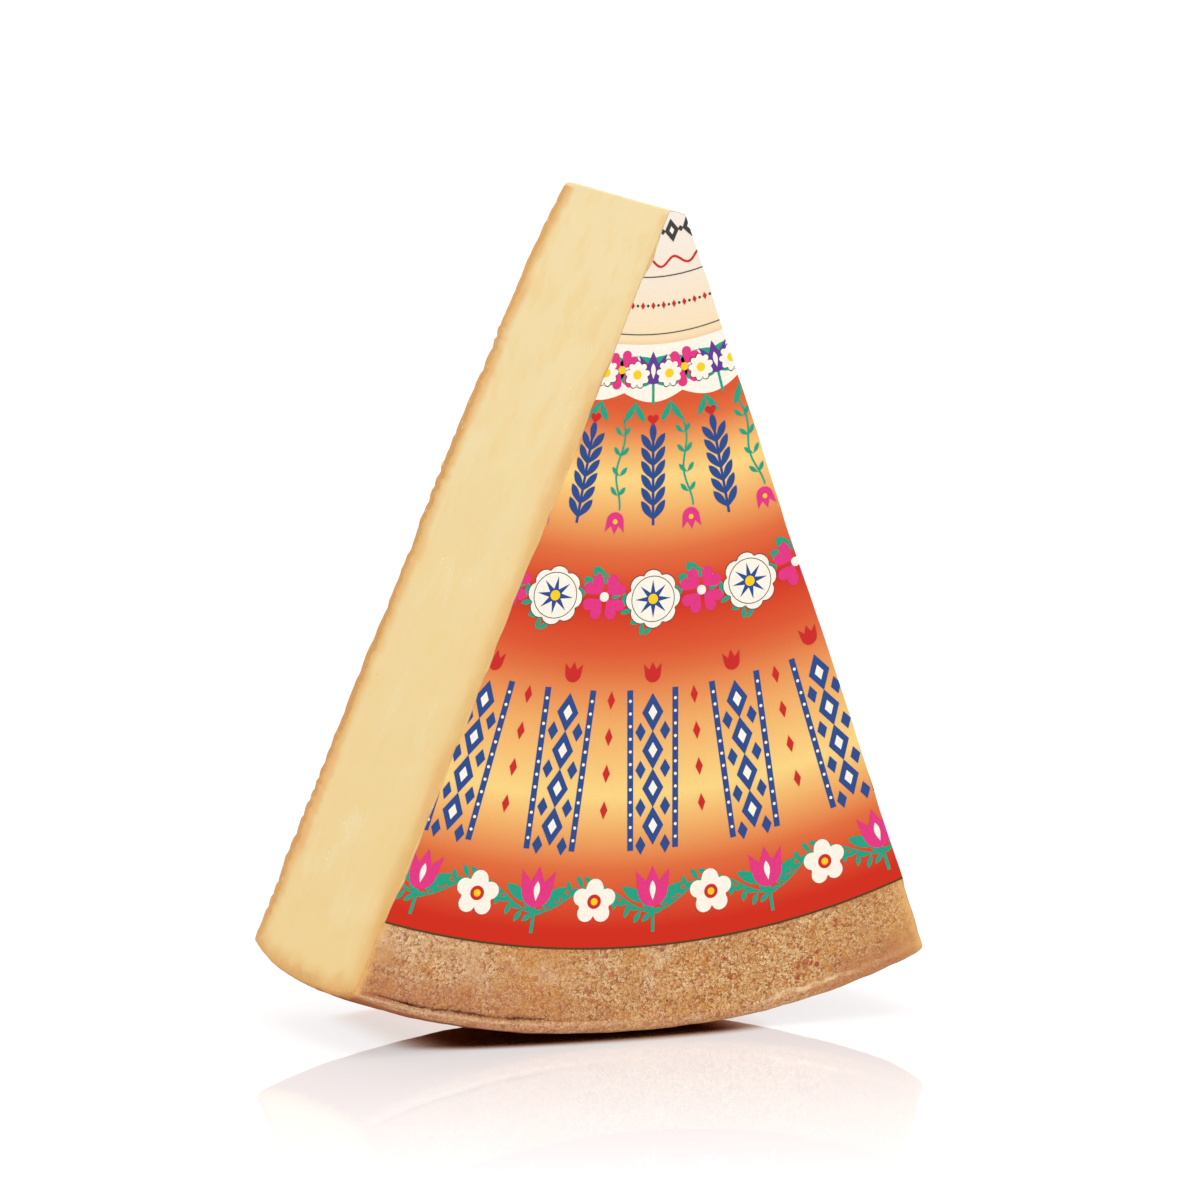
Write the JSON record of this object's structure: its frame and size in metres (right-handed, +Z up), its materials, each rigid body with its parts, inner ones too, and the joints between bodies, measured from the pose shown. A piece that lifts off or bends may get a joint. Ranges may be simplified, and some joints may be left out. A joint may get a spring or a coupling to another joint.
{
  "type": "cheese wedge",
  "caption": "Wedge of hard mountain cheese cut from a large round, standing on its curved rind, with a printed paper label pasted over its flat side.",
  "frame": {"origin": "under the middle of the bounding box, on the surface that the wedge stands on", "axes": "+Z up from the resting spot on the rind to the tip; the axis of the whole round runs along Y, with the labelled flat facing -Y; +X to the right as the label is seen"},
  "size_m": [0.2222, 0.1038, 0.2936],
  "materials": {
    "cheese": "smooth, waxy ivory yellow on the cuts, with an orange-brown layer under the rind; the rind itself is dry, brown and grainy",
    "label": "semi-gloss printed paper, cream at the tip, then red, orange and gold rings"
  },
  "bodies": {
    "root": {"cheese": "cheese", "label": "label"}
  },
  "joints": []
}
